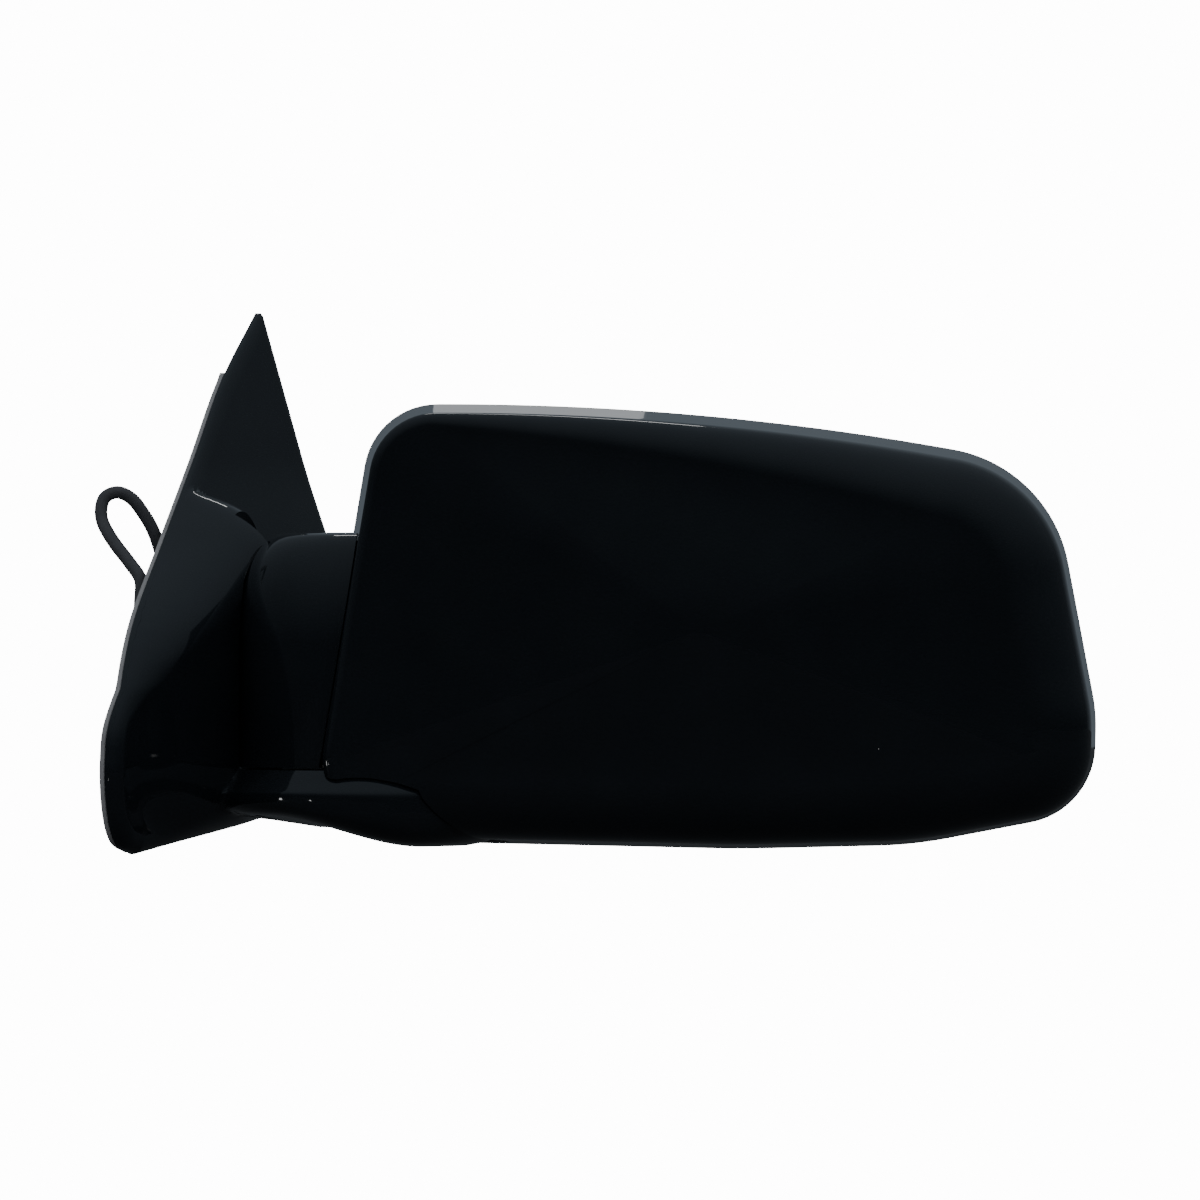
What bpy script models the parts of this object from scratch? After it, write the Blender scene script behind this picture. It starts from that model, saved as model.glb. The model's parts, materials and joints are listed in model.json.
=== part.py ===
# Power door mirror of a pickup truck, left-hand side, at full size.
# Every dimension is in millimetres and becomes metres in make().
# Frame: +X outboard along the mirror head, -Y towards the front of the vehicle, +Z up.
# The origin is on the face that bolts to the door.

import math

import bmesh
import bpy
from mathutils import Vector

MM = 0.001

# Door and base
DOOR_YAW = math.radians(27)         # the door face is turned this much from the head
TUMBLEHOME = 0.3134                 # inward lean of the door above its waist
WAIST_Z = 5
GASKET_T = 2.2
BASE_BACK = 2.5                     # the housing starts this far from the door
PLATE_T = 8.0
SAIL_T = 5.5
REAR_F = -116.5                     # rear edge of the sail, measured forwards along the door
REAR_LOW_Z, TIP_Z = -33, 135.5
GASKET_TOP_Z = 115
FRONT_EDGE = ((57, -53), (68, -49), (74, -38), (75.5, -20), (70, -3), (43, 26), (2, 56),
              (-37, 84), (-75, 112), (-114.5, TIP_Z))
PLATE_EDGE = ((-106, -24), (-60, -30), (0, -38), (48, -43.5), (58, -39), (64, -30), (64, -14), (54, 2),
              (31, 3), (28, 14), (16, 22), (9, 22), (9, 3), (-106, 3))
STUDS = ((40, -32, 0), (-92, -18, 0), (-104, 40, -11))    # (f, z, door surface) of each
STUD_R, STUD_REACH, STUD_SEAT = 3, 14, 5.2
GROMMET_AT = (18.5, 11.5)
POCKET = ((5, -39), (30, -39), (33.5, -34), (33.5, -18), (46, -8), (46, -5), (30, 16), (10, 34), (5, 34))
POCKET_OUT = 7.5
LEAD_PORT = (-25.4, -35.9)          # where the pivot's lead enters the back of the base
BULGE_F, BULGE_Z = -12, 8           # middle of the bulge that holds the pivot
BULGE_FRONT, BULGE_REAR, BULGE_HIGH = 96, 35, 66
BULGE_LOW_X, BULGE_RISE = -22, 42
BLEND = 12                          # width over which the bulge runs into the plate

# Fold pivot, and the turned surfaces round it
PIVOT_X = 56
NECK_R, NECK_TOP_Z = 43.75, 58.5
DOME_Z, DOME_R = 20.5, 18
SOCKET_GAP = 0.85
BOSS_TOP_Z = -24
BORE_R, LEAD_R, HEAD_LEAD_R = 6.4, 1.5, 1.7
DETENT_IN, DETENT_OUT, DETENT_LOBE = 6.5, 16, 1
SPRING_COILS, SPRING_R, SPRING_WIRE, SPRING_LOW_Z, SPRING_HIGH_Z = 5, 8.8, 1, -2.6, 21.4
FOOT_R, FOOT_EDGE_Z, FOOT_LOW_Z = 51.3, -31.5, -50.8
FOOT_NEAR_Z = -40.2                 # underside of the arm close to the door
HEAD_GAP = 0.8
SWEEP_R, SWEEP_FROM, SWEEP_TO = 46.8, 88, 160    # room for the rear rim as the head folds, in degrees

# Mirror head: corners (x, z, radius) of the rear rim, anticlockwise from the lower inboard one
HEAD_CORNERS = ((35.3, -49.5, 30), (190, -53.0, 500), (250, -51.6, 150), (313.6, -39.5, 28),
                (314.6, -5, 60), (298.3, 81.6, 50), (173.5, 103.5, 1000), (60.8, 103.5, 26))
GLASS_CORNERS = ((126, -51, 30),) + HEAD_CORNERS[1:] + ((43.9, 3, 30),)
LEFT_LINE = ((60.8, 103.5), (35.3, -49.5))
FRONT_Y, RIM_Y = -48, 40
CROWN = 3
DRAFT = 2.8
WALL = 2.5
ROUND_LEFT, ROUND_TOP, ROUND_TOP_FAR, ROUND_RIGHT, ROUND_LOW = 3, 4, 20, 23, 20
OPENING_INSET, GLASS_INSET = 7.5, 10.7

# Glass, its gimbal and the actuator, all placed from the tilt centre
CENTRE = Vector((180, 16, 22.7))
GLASS_Y, GLASS_T = 28.3, 2.2
PUSH_R = 26                         # plungers push this far from the tilt centre
BALL_R, SOCKET_R = 4.0, 4.8
CASE_HALF, CASE_WALL = 38, 2
CASE_LOW_Y, CASE_TOP_Y = -14, 10
POST_AT = 32.5
POSTS = [(CENTRE.x + i * POST_AT, CENTRE.z + j * POST_AT) for i in (-1, 1) for j in (-1, 1)]
BOSSES = ((84, 40), (100, -10), (228, 58), (228, -14))
BOSS_R, PILOT_R = 4.5, 1.9
TEETH, TOOTH_MODULE = 20, 0.8
WORM_PITCH_R = 3
DRIVE_Y = -2                        # height of the worm axes
WEB_Y = (-22, -19)
CORD_R = 2.3

for old in list(bpy.data.objects):
    bpy.data.objects.remove(old, do_unlink=True)


# ---------------------------------------------------------------- helpers

def finish(name, colour, roughness, metallic=0.0):
    made = bpy.data.materials.get(name)
    if made is None:
        made = bpy.data.materials.new(name)
        made.use_nodes = True
        shader = made.node_tree.nodes["Principled BSDF"]
        shader.inputs["Base Color"].default_value = (*colour, 1)
        shader.inputs["Roughness"].default_value = roughness
        shader.inputs["Metallic"].default_value = metallic
    return made


def make(name, shape, material, origin=(0, 0, 0)):
    """One object from (points, faces) in millimetres, with its origin at a point of its joint axis."""
    points, faces = shape
    origin = Vector(origin)
    mesh = bpy.data.meshes.new(name)
    mesh.from_pydata([(Vector(p) - origin) * MM for p in points], [], faces)
    work = bmesh.new()
    work.from_mesh(mesh)
    bmesh.ops.recalc_face_normals(work, faces=work.faces)
    work.to_mesh(mesh)
    work.free()
    mesh.materials.append(material)
    mesh.shade_smooth()
    mesh.set_sharp_from_angle(angle=math.radians(35))
    made = bpy.data.objects.new(name, mesh)
    made.location = origin * MM
    bpy.context.scene.collection.objects.link(made)
    return made


def combine(target, operation, shapes):
    """Boolean modifiers, one for each shape, with hidden wire objects as operands."""
    for number, shape in enumerate(shapes, 1):
        helper = make(f"{target.name}_{operation.lower()}_{number}", shape, target.data.materials[0])
        helper.hide_render = True
        helper.display_type = "WIRE"
        change = target.modifiers.new(helper.name, "BOOLEAN")
        change.operation = operation
        change.object = helper
    return target


def cut(target, *shapes):
    return combine(target, "DIFFERENCE", shapes)


def add(target, *shapes):
    return combine(target, "UNION", shapes)


def skin(rings, closed=False):
    """Quads between rings of equal count; a ring of one point is a pole, and open ends get caps."""
    points, starts, faces = [], [], []
    for ring in rings:
        starts.append(len(points))
        points.extend(ring)
    count = max(len(ring) for ring in rings)
    pairs = list(zip(range(len(rings)), range(1, len(rings))))
    if closed:
        pairs.append((len(rings) - 1, 0))
    for a, b in pairs:
        for i in range(count):
            j = (i + 1) % count
            corners = [starts[a] + (i if len(rings[a]) > 1 else 0),
                       starts[a] + (j if len(rings[a]) > 1 else 0),
                       starts[b] + (j if len(rings[b]) > 1 else 0),
                       starts[b] + (i if len(rings[b]) > 1 else 0)]
            face = [c for k, c in enumerate(corners) if c not in corners[:k]]
            if len(face) > 2:
                faces.append(face)
    if not closed:
        for end in (0, -1):
            if len(rings[end]) > 1:
                faces.append([starts[end] + i for i in range(count)])
    return points, faces


def turned(profile, steps, centre, axis=(0, 0, 1)):
    """A profile of (radius, height) turned round an axis; one that never meets the axis makes a ring."""
    turn = Vector((0, 0, 1)).rotation_difference(Vector(axis)).to_matrix()
    centre = Vector(centre)
    rings = []
    for radius, height in profile:
        if radius == 0:
            rings.append([centre + turn @ Vector((0, 0, height))])
            continue
        rings.append([centre + turn @ Vector((radius * math.cos(math.tau * i / steps),
                                              radius * math.sin(math.tau * i / steps), height))
                      for i in range(steps)])
    return skin(rings, closed=profile[0][0] > 0)


def rod(radius, low, high, steps, centre, axis=(0, 0, 1)):
    return turned(((0, low), (radius, low), (radius, high), (0, high)), steps, centre, axis)


def tube(inner, outer, low, high, steps, centre, axis=(0, 0, 1)):
    return turned(((inner, low), (outer, low), (outer, high), (inner, high)), steps, centre, axis)


def slab(outline, low, high, place):
    """An outline of (a, b) points raised from low to high; place(a, b, c) gives the point."""
    return skin([[place(a, b, c) for a, b in outline] for c in (low, high)])


def in_xz(x, z, y):
    return Vector((x, y, z))


def in_xy(x, y, z):
    return Vector((x, y, z))


def in_yz(y, z, x):
    return Vector((x, y, z))


def at_door(f, z, out):
    """A point from its distance forwards along the door, its height and its distance outboard."""
    return Vector((out * math.cos(DOOR_YAW) - f * math.sin(DOOR_YAW),
                   -out * math.sin(DOOR_YAW) - f * math.cos(DOOR_YAW), z))


def rectangle(low_a, high_a, low_b, high_b):
    return ((low_a, low_b), (high_a, low_b), (high_a, high_b), (low_a, high_b))


def block(low, high):
    return slab(rectangle(low[0], high[0], low[1], high[1]), low[2], high[2], in_xy)


def smooth_step(value, low, high):
    t = min(max((value - low) / (high - low), 0), 1)
    return t * t * (3 - 2 * t)


def spline(points, steps):
    """Points on a Catmull-Rom curve, steps to each span."""
    points = [Vector(p) for p in points]
    ends = [2 * points[0] - points[1]] + points + [2 * points[-1] - points[-2]]
    curve = []
    for a, b, c, d in zip(ends, ends[1:], ends[2:], ends[3:]):
        for i in range(steps):
            t = i / steps
            curve.append(0.5 * (2 * b + (c - a) * t + (2 * a - 5 * b + 4 * c - d) * t ** 2
                                + (3 * b - a - 3 * c + d) * t ** 3))
    return curve + [points[-1]]


def cable(name, points, radius, material, sides_level=2):
    """A round cable along points in millimetres."""
    data = bpy.data.curves.new(name, "CURVE")
    data.dimensions = "3D"
    data.bevel_depth = radius * MM
    data.bevel_resolution = sides_level
    data.use_fill_caps = True
    data.render_resolution_u = 0
    line = data.splines.new("POLY")
    line.points.add(len(points) - 1)
    for knot, point in zip(line.points, points):
        knot.co = (*(point * MM), 1)
    data.materials.append(material)
    made = bpy.data.objects.new(name, data)
    bpy.context.scene.collection.objects.link(made)
    return made


def rounded(corners, inset, detail):
    """Points and outward normals of a rounded outline moved inwards; detail is arc points per 30 degrees."""
    count = len(corners)
    edges = []
    for i in range(count):
        a, b = Vector(corners[i][:2]), Vector(corners[(i + 1) % count][:2])
        along = (b - a).normalized()
        edges.append((a + inset * Vector((-along.y, along.x)), along))
    points, normals = [], []
    for i in range(count):
        (p, u), (q, v) = edges[i - 1], edges[i]
        turn = math.atan2(u.x * v.y - u.y * v.x, u.dot(v))
        corner = p + u * ((q - p).cross(v) / u.cross(v))
        radius = max(corners[i][2] - inset, 1)
        start = corner - u * radius * math.tan(turn / 2)
        centre = start + radius * Vector((-u.y, u.x))
        steps = max(1, round(detail * math.degrees(abs(turn)) / 30))
        for k in range(steps + 1):
            angle = turn * k / steps
            normal = Vector((u.y * math.cos(angle) + u.x * math.sin(angle),
                             -u.x * math.cos(angle) + u.y * math.sin(angle)))
            points.append(centre + radius * normal)
            normals.append(normal)
    return points, normals


def outline(corners, inset, detail=1.5):
    return [tuple(p) for p in rounded(corners, inset, detail)[0]]


# ---------------------------------------------------------------- surfaces shared by several pieces

def left_line_x(z):
    (x1, z1), (x2, z2) = LEFT_LINE
    return x1 + (x2 - x1) * (z - z1) / (z2 - z1)


def edge_round(point, normal):
    """Radius of the front edge: small at the inboard side, growing outboard along the top."""
    top = ROUND_TOP + (ROUND_TOP_FAR - ROUND_TOP) * min(max((point.x - 80) / 180, 0), 1)
    return (ROUND_LEFT * max(-normal.x, 0) ** 2 + ROUND_RIGHT * max(normal.x, 0) ** 2
            + top * max(normal.y, 0) ** 2 + ROUND_LOW * max(-normal.y, 0) ** 2)


def head_skin(inset, detail, round_steps, fronts=(0.55,)):
    """Rings of the head from its rear rim round the front edge to a pole in the front face."""
    rim = rounded(HEAD_CORNERS, inset, detail)[0]
    front, normals = rounded(HEAD_CORNERS, inset + DRAFT, detail)
    rounds = [max(edge_round(p, n) - inset, 0.6) for p, n in zip(front, normals)]
    rings = [[in_xz(p.x, p.y, RIM_Y) for p in rim]]
    for k in range(round_steps + 1):
        angle = math.pi / 2 * k / round_steps
        ring = []
        for p, n, r in zip(front, normals, rounds):
            flat = p - n * r * (1 - math.cos(angle))
            ring.append(in_xz(flat.x, flat.y, FRONT_Y + inset + r * (1 - math.sin(angle))))
        rings.append(ring)
    middle = sum(rings[-1], Vector()) / len(rings[-1])
    for scale in (*fronts, 0):
        crowned = FRONT_Y + inset - CROWN * (1 - scale ** 2)
        ring = [middle + scale * (p - middle) for p in rings[-1]] if scale else [middle]
        rings.append([in_xz(p.x, p.z, crowned) for p in ring])
    return rings


def foot_cutter(gap):
    """The turned space round the foot that the head keeps clear of."""
    return turned(((0, BOSS_TOP_Z + gap), (NECK_R + 1.25, BOSS_TOP_Z + gap),
                   (FOOT_R + gap, FOOT_EDGE_Z + gap), (FOOT_R + gap, -70), (0, -70)),
                  64, (PIVOT_X, 0, 0))


def dome(gap, steps=5):
    """Profile of the neck from its shoulder to its flat top, grown by a gap."""
    flat = NECK_R - DOME_R
    profile = []
    for k in range(steps + 1):
        angle = math.pi / 2 * k / steps
        profile.append((flat + (DOME_R + gap) * math.cos(angle),
                        DOME_Z + (NECK_TOP_Z - DOME_Z + gap) * math.sin(angle)))
    return profile


def door_lean(z):
    return -(z - WAIST_Z) * TUMBLEHOME if z > WAIST_Z else 0


def base_edge():
    """Outline of the base on the door as (f, z), anticlockwise from the lower rear corner."""
    front = [(p.x, p.y) for p in spline([(*p, 0) for p in FRONT_EDGE], 2)]
    return [(REAR_F, REAR_LOW_Z)] + front + [(REAR_F, TIP_Z)]


def distance_to(outline_points, f, z):
    here = Vector((f, z))
    nearest = 1000
    for a, b in zip(outline_points, outline_points[1:] + outline_points[:1]):
        a, b = Vector(a), Vector(b)
        along = min(max((here - a).dot(b - a) / (b - a).length_squared, 0), 1)
        nearest = min(nearest, (here - a - along * (b - a)).length)
    return nearest


def base_out(f, z, edge):
    """How far the outer surface stands outboard of the door origin."""
    thick = PLATE_T + (SAIL_T - PLATE_T) * smooth_step(z, 45, 85)
    plate = door_lean(z) + thick
    reach_f = BULGE_FRONT if f > BULGE_F else BULGE_REAR
    inside = abs((f - BULGE_F) / reach_f) ** 2.2 + abs((z - BULGE_Z) / BULGE_HIGH) ** 6
    bulge = BULGE_LOW_X + BULGE_RISE * math.sqrt(1 - inside) if inside < 1 else plate - BLEND
    mix = min(max(0.5 + (bulge - plate) / BLEND, 0), 1)
    full = plate + (bulge - plate) * mix + BLEND / 2 * mix * (1 - mix)
    low = door_lean(z) + BASE_BACK + 1.2
    radius = 4 + 0.5 * (full - low)
    t = min(distance_to(edge, f, z) / radius, 1)
    return low + (full - low) * math.sqrt(max(1 - (1 - t) ** 2, 0))


def base_shape(across, up):
    """The base housing before it is joined to its foot: a grid on the door outline, front and back."""
    edge = base_edge()
    front = spline([(*p, 0) for p in FRONT_EDGE], 8)
    rings = []
    for j in range(up + 1):
        v = 0.5 - 0.5 * math.cos(math.pi * j / up) if j < up / 2 else j / up
        place = v * (len(front) - 1)
        a = front[int(place)]
        b = front[min(int(place) + 1, len(front) - 1)]
        end = a.lerp(b, place - int(place))
        start = Vector((REAR_F, REAR_LOW_Z + v * (TIP_Z - REAR_LOW_Z), 0))
        outer, inner = [], []
        for i in range(across + 1):
            u = 0.5 - 0.5 * math.cos(math.pi * i / across)
            spot = start.lerp(end, u)
            outer.append(at_door(spot.x, spot.y, base_out(spot.x, spot.y, edge)))
            inner.append(at_door(spot.x, spot.y, door_lean(spot.y) + BASE_BACK - 2))
        rings.append(outer + inner[::-1])
    return skin(rings)


def door_space():
    """Everything inboard of the housing's back: upright below the waist, leaning above it."""
    top = 150
    side = ((-120, -70), (BASE_BACK, -70), (BASE_BACK, WAIST_Z), (BASE_BACK + door_lean(top), top),
            (-120, top))
    return slab(side, -140, 100, lambda out, z, f: at_door(f, z, out))


def foot_shape(steps):
    """The arm's round foot under the neck; its underside drops from the door outwards."""
    levels = ((42.8, -22), (FOOT_R, FOOT_EDGE_Z), (FOOT_R, -40), (49.5, -45.5), (45, -49.2), (38, FOOT_LOW_Z))
    points, faces = turned(((0, -22), *levels, (0, FOOT_LOW_Z)), steps, (PIVOT_X, 0, 0))
    bent = []
    for p in points:
        low = FOOT_NEAR_Z + (FOOT_LOW_Z - FOOT_NEAR_Z) * smooth_step(p.x, 24, 78)
        if p.z < FOOT_EDGE_Z:
            share = (low - FOOT_EDGE_Z) / (FOOT_LOW_Z - FOOT_EDGE_Z)
            p = Vector((p.x, p.y, FOOT_EDGE_Z + (p.z - FOOT_EDGE_Z) * share))
        bent.append(p)
    return bent, faces


def moved_in(edge, inset):
    """An outline of (f, z) points with each side moved inwards."""
    moved = []
    for a, b, c in zip(edge[-1:] + edge[:-1], edge, edge[1:] + edge[:1]):
        u, v = (Vector(b) - Vector(a)).normalized(), (Vector(c) - Vector(b)).normalized()
        middle = Vector((-u.y - v.y, u.x + v.x)).normalized()
        moved.append(tuple(Vector(b) + middle * inset / max(middle.dot(Vector((-v.y, v.x))), 0.4)))
    return moved


def ring_on_door(edge, outer_inset, inner_inset, low, high):
    """A flat band along the inside of an outline, following the lean of the door."""
    outer, inner = moved_in(edge, outer_inset), moved_in(edge, inner_inset)
    return skin([[at_door(f, z, door_lean(z) + out) for f, z in band]
                 for band, out in ((outer, low), (outer, high), (inner, high), (inner, low))], closed=True)


# ---------------------------------------------------------------- finishes

GLOSS = finish("gloss_black_shell", (0.006, 0.008, 0.010), 0.08)
MATTE = finish("matte_black_plastic", (0.02, 0.02, 0.021), 0.55)
RUBBER = finish("gasket_rubber", (0.16, 0.165, 0.17), 0.6)
GREY = finish("grey_plastic", (0.30, 0.30, 0.31), 0.5)
WHITE = finish("white_gear_plastic", (0.75, 0.74, 0.70), 0.45)
STEEL = finish("zinc_steel", (0.62, 0.62, 0.60), 0.3, 1.0)
DARK_STEEL = finish("spring_steel", (0.20, 0.20, 0.21), 0.35, 1.0)
BRASS = finish("brass", (0.75, 0.55, 0.25), 0.3, 1.0)
PVC = finish("cable_sleeve", (0.012, 0.012, 0.013), 0.3)
MIRROR = finish("mirror_coating", (0.85, 0.87, 0.88), 0.03, 1.0)
HEATER = finish("heater_foil", (0.45, 0.30, 0.15), 0.5)
OUTBOARD = at_door(0, 0, 1)
PIVOT = Vector((PIVOT_X, 0, 0))


# ---------------------------------------------------------------- base

def make_base():
    edge = base_edge()
    base = make("base_housing", base_shape(10, 16), GLOSS)
    add(base, foot_shape(48))
    socket = [(0, BOSS_TOP_Z), (NECK_R + SOCKET_GAP, BOSS_TOP_Z), *dome(SOCKET_GAP),
              (0, NECK_TOP_Z + SOCKET_GAP)]
    sweep = [(PIVOT_X, 0)]
    for k in range(9):
        angle = math.radians(SWEEP_FROM + (SWEEP_TO - SWEEP_FROM) * k / 8)
        sweep.append((PIVOT_X + SWEEP_R * math.cos(angle), SWEEP_R * math.sin(angle)))
    cut(base,
        turned(socket, 64, PIVOT),
        slab(sweep, BOSS_TOP_Z, 90, in_xy),
        door_space(),
        slab(POCKET, -60, POCKET_OUT, at_door),
        slab(rectangle(-29, 8, -39, -33.2), -5, 8, at_door),
        rod(2.4, 3, 46, 12, at_door(*LEAD_PORT, 0), OUTBOARD),
        rod(14, -60, -28, 24, PIVOT),
        rod(BORE_R, -40, 0, 20, PIVOT),
        *[rod(STUD_R + 0.3, -60, out + STUD_SEAT + 0.3, 12, at_door(f, z, 0), OUTBOARD)
          for f, z, out in STUDS])
    gasket_edge = [p for p in edge if p[1] < GASKET_TOP_Z - 2] + [(-79, GASKET_TOP_Z), (REAR_F, GASKET_TOP_Z)]
    make("door_gasket", ring_on_door(gasket_edge, 0.6, 6.5, 0, GASKET_T), RUBBER)
    plate = make("base_reinforcement", slab(PLATE_EDGE, 0, GASKET_T, at_door), STEEL)
    cut(plate, rod(5.2, -5, 5, 20, at_door(*GROMMET_AT, 0), OUTBOARD),
        *[rod(STUD_R + 0.3, -5, 5, 16, at_door(f, z, 0), OUTBOARD) for f, z, out in STUDS[:2]])
    for name, (f, z, out) in zip(("stud_front", "stud_rear", "stud_upper"), STUDS):
        low, high = out - STUD_REACH, out + STUD_SEAT
        shank = ((0, low), (STUD_R - 0.7, low), (STUD_R, low + 0.7), (STUD_R, high), (0, high))
        make(name, turned(shank, 12, at_door(f, z, 0), OUTBOARD), STEEL)
    make("cable_grommet", turned(((0, -7), (3.6, -7), (5.2, -2.4), (7, -1.8), (7, -0.3), (4.9, -0.3),
                                  (4.9, 2.5), (6.4, 2.5), (6.4, 4), (0, 4)), 16,
                                 at_door(*GROMMET_AT, 0), OUTBOARD), RUBBER)
    cover = make("foot_cover", rod(13.6, -39.3, -37.9, 24, PIVOT), MATTE)
    for side in (-1, 1):
        cut(cover, rod(1.5, -45, -30, 10, (PIVOT_X, side * 9.5, 0)))
        shape = turned(((0, -41), (2.4, -41), (2.4, -39.6), (1.2, -39.6), (1.2, -33), (0, -33)), 10,
                       (PIVOT_X, side * 9.5, 0))
        make(f"foot_cover_screw_{'front' if side < 0 else 'rear'}", shape, STEEL)


def lobed_ring(inner, outer, low, high, lobe_low, lobe_high):
    """A ring whose faces carry three detent lobes or notches."""
    rings = []
    for radius, height, lobe in ((inner, low, lobe_low), (outer, low, lobe_low),
                                 (outer, high, lobe_high), (inner, high, lobe_high)):
        ring = []
        for i in range(36):
            angle = math.tau * i / 36
            swell = max(math.cos(3 * angle) - 0.6, 0) / 0.4
            ring.append(PIVOT + Vector((radius * math.cos(angle), radius * math.sin(angle),
                                        height + lobe * swell)))
        rings.append(ring)
    return skin(rings, closed=True)


def make_pivot():
    make("pivot_tube", turned(((4, 34), (4, -30.3), (12, -30.3), (12, -28.3), (6, -28.3), (6, 34)), 20,
                              PIVOT), STEEL)
    make("detent_ring_lower", lobed_ring(DETENT_IN, DETENT_OUT, -23.6, -18.5, 0, DETENT_LOBE),
         DARK_STEEL)
    make("detent_ring_upper", lobed_ring(DETENT_IN, DETENT_OUT, -17.2, -11, DETENT_LOBE, 0),
         DARK_STEEL)
    helix, count = [], 12 * SPRING_COILS
    for k in range(count + 1):
        turn = math.tau * k / 12
        height = SPRING_LOW_Z + (SPRING_HIGH_Z - SPRING_LOW_Z) * k / count
        helix.append(PIVOT + Vector((SPRING_R * math.cos(turn), SPRING_R * math.sin(turn), height)))
    cable("pivot_spring", helix, SPRING_WIRE, DARK_STEEL, 1)
    make("spring_washer", tube(6.5, 11, 23, 24.6, 20, PIVOT), STEEL)
    nut = make("retaining_nut", rod(10, 25, 31, 6, PIVOT), STEEL)
    cut(nut, rod(BORE_R, 20, 40, 20, PIVOT))


# ---------------------------------------------------------------- head

def make_head():
    outer, inner = head_skin(0, 1.2, 4), head_skin(WALL, 1.2, 3)
    shell = make("housing_shell", skin(outer[::-1] + inner), GLOSS, PIVOT)
    add(shell, *[rod(BOSS_R, FRONT_Y - 0.6, WEB_Y[0] - 0.3, 10, (x, 0, z), (0, 1, 0)) for x, z in BOSSES])
    window = block((20, -33, -40), (62, 33, 50))
    cut(shell, window, foot_cutter(HEAD_GAP),
        *[rod(PILOT_R, FRONT_Y + 6, 0, 10, (x, 0, z), (0, 1, 0)) for x, z in BOSSES])

    low = BOSS_TOP_Z + HEAD_GAP
    drum = ([(NECK_R, low)] + dome(0) + [(10, NECK_TOP_Z), (10, NECK_TOP_Z - WALL)]
            + [(r, z) for r, z in dome(-WALL)[::-1]] + [(NECK_R - WALL, low)])
    neck = make("neck_shroud", turned(drum, 56, PIVOT), GLOSS, PIVOT)
    walls = []
    for y, draft in ((-70, DRAFT * 110 / 85), (RIM_Y + 20, -DRAFT * 20 / 85)):
        left = [(left_line_x(z) + draft - 0.4, z) for z in (90, -60)]
        walls.append([in_xz(x, z, y) for x, z in (*left, (150, -60), (150, 90))])
    cut(neck, skin(walls))

    bezel = make("bezel_ring", slab(outline(HEAD_CORNERS, 3.4, 1.2), 31, 39.4, in_xz), MATTE, PIVOT)
    cut(bezel, slab(outline(GLASS_CORNERS, OPENING_INSET), 20, 50, in_xz), foot_cutter(HEAD_GAP))

    web = ((66, -14), (140, -24), (236, -24), (236, 68), (140, 68), (66, 46))
    frame = make("head_frame", slab(web, *WEB_Y, in_xz), GREY, PIVOT)
    add(frame,
        slab(((50, -20.5), (86, -20.5), (74, 4), (56, 17)), -10.7, -4, in_xy),
        rod(17, -10.7, -4, 24, PIVOT),
        slab(((-21, -10), (6, -10), (6, -5), (-21, 24)), 80, 84, in_yz),
        *[rod(BOSS_R, WEB_Y[0] + 1, CASE_LOW_Y - 2.7, 12, (x, 0, z), (0, 1, 0)) for x, z in POSTS])
    cut(frame,
        rod(6.5, -20, 0, 20, PIVOT),
        *[rod(PILOT_R, -40, 0, 10, (x, 0, z), (0, 1, 0)) for x, z in (*BOSSES, *POSTS)],
        rod(20, -40, -10, 24, (CENTRE.x, 0, CENTRE.z), (0, 1, 0)),
        slab(rectangle(92, 128, 0, 44), -40, -10, in_xz))
    for number, (x, z) in enumerate(BOSSES, 1):
        make(f"frame_screw_{number}", pan_screw(WEB_Y[1] + 0.3, 17, x, z), STEEL, PIVOT)
    for number, (x, z) in enumerate(POSTS, 1):
        make(f"actuator_screw_{number}", pan_screw(CASE_TOP_Y + 0.3, 30, x, z), STEEL, PIVOT)


def pan_screw(seat_y, length, x, z):
    """A screw with its head on a seat, pointing to the front of the vehicle."""
    profile = ((0, seat_y - length), (1.5, seat_y - length), (1.5, seat_y), (3.2, seat_y),
               (3.2, seat_y + 1.2), (2, seat_y + 2), (0, seat_y + 2))
    return turned(profile, 10, (x, 0, z), (0, 1, 0))


# ---------------------------------------------------------------- actuator, gimbal and glass

def from_centre(x, y, z):
    return Vector((CENTRE.x + x, y, CENTRE.z + z))


def square(half):
    return rectangle(CENTRE.x - half, CENTRE.x + half, CENTRE.z - half, CENTRE.z + half)


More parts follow.
